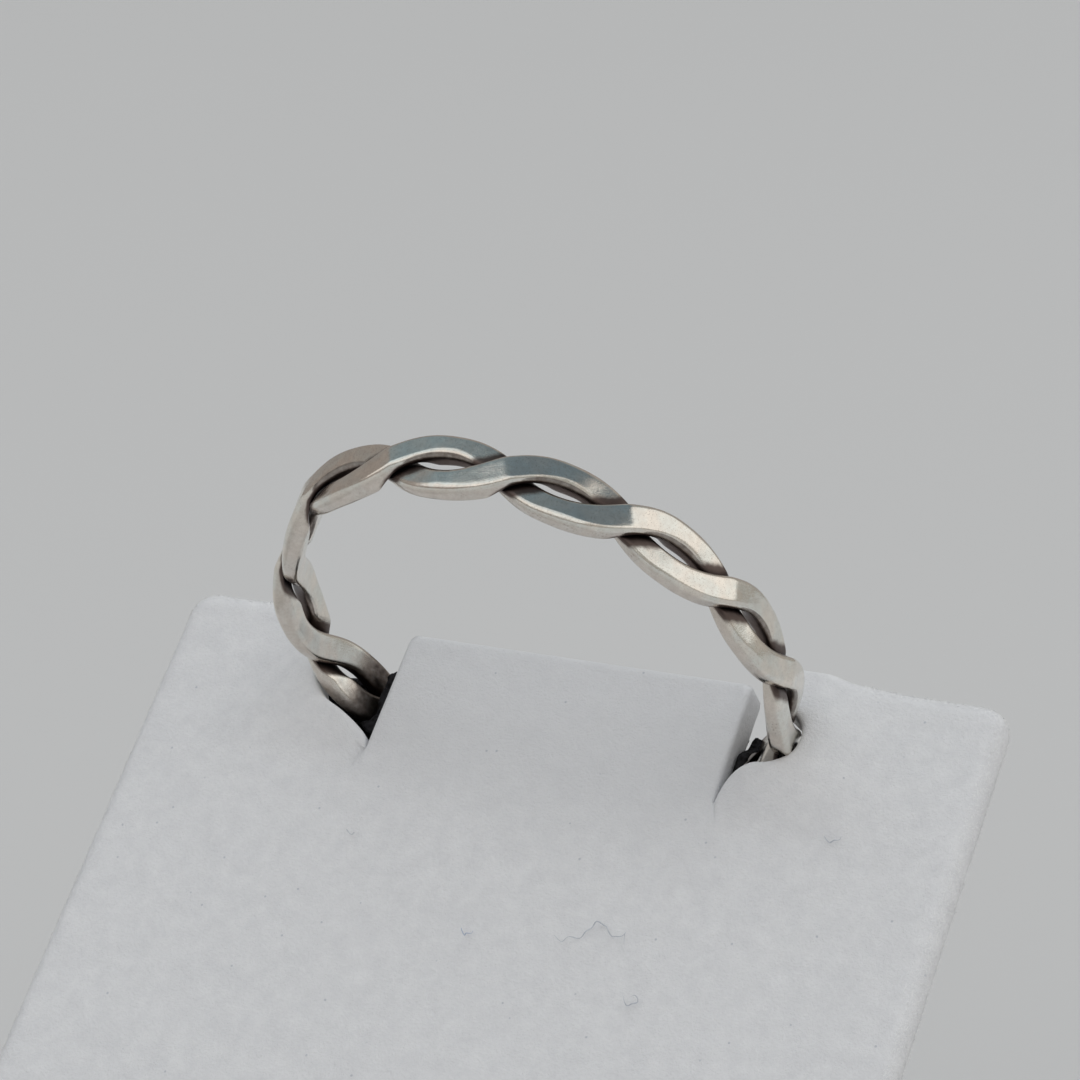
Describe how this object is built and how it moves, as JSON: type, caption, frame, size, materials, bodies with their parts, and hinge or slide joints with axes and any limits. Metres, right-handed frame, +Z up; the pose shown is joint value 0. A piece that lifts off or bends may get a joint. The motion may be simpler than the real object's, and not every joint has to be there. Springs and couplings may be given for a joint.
{
  "type": "twisted band ring on a display stand",
  "caption": "Flattened rope-twist band ring of interlaced silver wires, slipped over the tongue of a small sloping flocked display stand.",
  "frame": {"origin": "on the surface that the stand rests on, under the middle of the whole object", "axes": "+Z up, -Y towards the front of the sloping panel, X across the panel"},
  "size_m": [0.0326, 0.04, 0.0382],
  "materials": {
    "silver": "polished sterling silver, blackened in the recesses",
    "flocked_board": "white flocked board",
    "black_foam": "matt black foam"
  },
  "bodies": {
    "root": {"strand_a": "silver", "strand_b": "silver", "stand_panel": "flocked_board", "ring_bed": "black_foam", "stand_strut": "flocked_board"}
  },
  "joints": []
}
